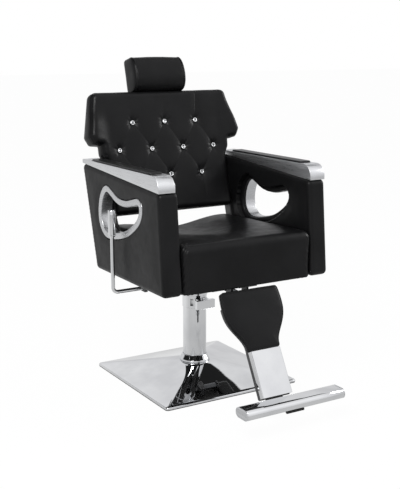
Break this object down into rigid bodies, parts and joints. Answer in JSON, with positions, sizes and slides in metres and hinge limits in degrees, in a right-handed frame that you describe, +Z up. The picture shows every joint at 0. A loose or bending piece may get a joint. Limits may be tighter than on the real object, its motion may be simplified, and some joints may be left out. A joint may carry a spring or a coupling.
{
  "type": "barber chair",
  "caption": "Padded barber chair with tufted reclining back, coupled leg rest, sliding headrest and a pump column on a square base.",
  "frame": {"origin": "centre of the base's underside, on the floor", "axes": "+Z up, the sitter faces -Y, +X is the sitter's left"},
  "size_m": [0.6165, 0.8728, 1.0299],
  "materials": {
    "chrome": "polished chrome plate",
    "hard_chrome": "ground hard chrome",
    "brushed_cap": "brushed and clear-coated",
    "black_leather": "smooth black upholstery",
    "arm_pad": "moulded black pad",
    "black_paint": "black powder coat",
    "zinc": "zinc-plated",
    "steel": "turned steel",
    "bronze": "turned bronze",
    "rubber": "black rubber",
    "nylon": "natural nylon",
    "black_nylon": "black nylon",
    "plywood": "raw plywood",
    "black_board": "black-stained plywood",
    "stone": "cut clear stone",
    "piston_alloy": "machined"
  },
  "bodies": {
    "base": {"ground_plate": "black_paint", "base_gasket": "rubber", "base_cover": "chrome", "base_bolts": "zinc", "collar_ring": "chrome", "inner_tube": "steel", "tube_gland": "bronze"},
    "pump": {"outer_sleeve": "chrome", "sleeve_bush": "nylon", "pump_head": "chrome", "ram": "hard_chrome", "piston": "piston_alloy", "piston_seal": "rubber", "spindle": "steel", "thrust_washer": "bronze", "pedal_pin": "steel"},
    "plunger": {"pump_plunger": "hard_chrome"},
    "pedal": {"pedal_lever": "chrome", "pedal_rubber": "rubber"},
    "seat": {"seat_bracket": "steel", "seat_rails": "black_paint", "seat_bolts": "zinc", "seat_board": "black_board", "seat_cushion": "black_leather", "arm_left": "black_leather", "arm_right": "black_leather", "arm_cores": "plywood", "arm_bolts": "zinc", "arm_cap_left": "brushed_cap", "arm_cap_right": "brushed_cap", "arm_pads": "arm_pad", "hole_trim_left": "brushed_cap", "hole_trim_right": "brushed_cap", "bearing_blocks": "black_paint", "strut_cylinder": "black_paint", "leg_hinge": "black_paint", "leg_pin": "steel"},
    "lever": {"lever_rod": "chrome", "lever_grip": "chrome"},
    "release": {"release_pin": "steel"},
    "back": {"torque_shaft": "steel", "back_bars": "black_paint", "crank_arms": "black_paint", "back_board": "plywood", "back_cushion": "black_leather", "back_cover": "black_leather", "button_cups": "chrome", "button_stones": "stone", "headrest_guides": "black_nylon"},
    "headrest": {"headrest_posts": "chrome", "headrest_pad": "black_leather"},
    "leg_rest": {"leg_frame": "black_paint", "calf_pad": "black_leather", "leg_plate": "chrome", "foot_strap": "chrome", "foot_bar": "chrome", "foot_bar_caps": "brushed_cap", "foot_bumper": "rubber"},
    "link": {"sync_link": "steel"},
    "strut": {"strut_rod": "hard_chrome"}
  },
  "joints": [
    {"name": "lift", "type": "slide", "parent": "base", "child": "pump", "axis": [0, 0, 1], "range_m": [0, 0.13]},
    {"name": "pedal_hinge", "type": "hinge", "parent": "pump", "child": "pedal", "pos_m": [0.03399, 0.05657, 0.252], "axis": [-0.8572, 0.515, 0], "range_deg": [0, 18], "stiffness_Nm_per_rad": 10, "springref_deg": -14.32},
    {"name": "plunger_slide", "type": "slide", "parent": "pump", "child": "plunger", "axis": [0, 0, 1], "range_m": [0, 0.00596]},
    {"name": "swivel", "type": "hinge", "parent": "pump", "child": "seat", "pos_m": [0, 0, 0.3], "axis": [0, 0, 1], "continuous": true},
    {"name": "lever_hinge", "type": "hinge", "parent": "seat", "child": "lever", "pos_m": [-0.15, -0.046, 0.333], "axis": [1, 0, 0], "range_deg": [0, 25], "stiffness_Nm_per_rad": 1.5, "springref_deg": -17.19},
    {"name": "release_slide", "type": "slide", "parent": "seat", "child": "release", "axis": [0, 1, 0], "range_m": [0, 0.0058]},
    {"name": "recline", "type": "hinge", "parent": "seat", "child": "back", "pos_m": [0, 0.098, 0.352], "axis": [-1, 0, 0], "range_deg": [0, 50]},
    {"name": "headrest_slide", "type": "slide", "parent": "back", "child": "headrest", "axis": [0, 0.2588, 0.9659], "range_m": [0, 0.08]},
    {"name": "leg_hinge_joint", "type": "hinge", "parent": "seat", "child": "leg_rest", "pos_m": [0, -0.3, 0.337], "axis": [-1, 0, 0], "range_deg": [0, 50]},
    {"name": "link_pivot", "type": "hinge", "parent": "back", "child": "link", "pos_m": [0.048, 0.11237, 0.32119], "axis": [-1, 0, 0], "range_deg": [-50, 0]},
    {"name": "strut_slide", "type": "slide", "parent": "seat", "child": "strut", "axis": [0, -1, 0], "range_m": [0, 0.02914]}
  ],
  "couplings": [
    {"joint": "plunger_slide", "follows": "pedal_hinge", "m_per_rad": 0.01771},
    {"joint": "release_slide", "follows": "lever_hinge", "m_per_rad": 0.013},
    {"joint": "leg_hinge_joint", "follows": "recline", "ratio": 1},
    {"joint": "link_pivot", "follows": "recline", "ratio": -1},
    {"joint": "strut_slide", "follows": "recline", "m_per_rad": 0.03293}
  ]
}
